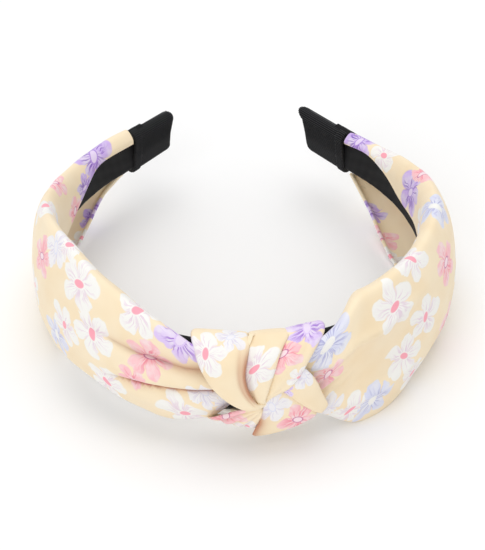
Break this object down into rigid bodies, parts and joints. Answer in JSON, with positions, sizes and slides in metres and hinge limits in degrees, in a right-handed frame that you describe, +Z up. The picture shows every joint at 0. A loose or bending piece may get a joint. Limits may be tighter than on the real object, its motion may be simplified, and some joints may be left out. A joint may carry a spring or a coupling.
{
  "type": "knotted fabric headband",
  "caption": "Horseshoe hair band: springy core sleeved in black satin, ribbed tip caps, and a wide floral sash knotted round the crown.",
  "frame": {"origin": "middle of the bounding box, on the surface that the headband lies on", "axes": "+Z up with the headband lying on its lower edge; the knot is at -Y, the tips point to +Y, +X is to the right seen from the knot"},
  "size_m": [0.148, 0.1454, 0.061],
  "materials": {
    "core": "moulded, never seen",
    "satin": "smooth black satin",
    "ribbon": "black ribbed grosgrain",
    "print": "pale yellow crepe with printed flowers"
  },
  "bodies": {
    "crown": {"crown_core": "core", "crown_satin_sleeve": "satin", "knot_left_wrap": "print", "knot_middle_wrap": "print", "knot_right_wrap": "print", "knot_right_tuck": "print", "knot_lower_fold": "print", "knot_left_tuck": "print", "knot_through_run": "print"},
    "left_arm": {"left_arm_core": "core", "left_satin_sleeve": "satin", "left_tip_cap": "ribbon", "left_sash_panel": "print"},
    "right_arm": {"right_arm_core": "core", "right_satin_sleeve": "satin", "right_tip_cap": "ribbon", "right_sash_panel": "print"}
  },
  "joints": [
    {"name": "left_arm_flex", "type": "hinge", "parent": "crown", "child": "left_arm", "pos_m": [-0.02064, -0.05642, 0.0265], "axis": [0, 0, 1], "range_deg": [-6, 15], "stiffness_Nm_per_rad": 1.3},
    {"name": "right_arm_flex", "type": "hinge", "parent": "crown", "child": "right_arm", "pos_m": [0.03262, -0.05129, 0.0265], "axis": [0, 0, -1], "range_deg": [-6, 15], "stiffness_Nm_per_rad": 1.3}
  ]
}
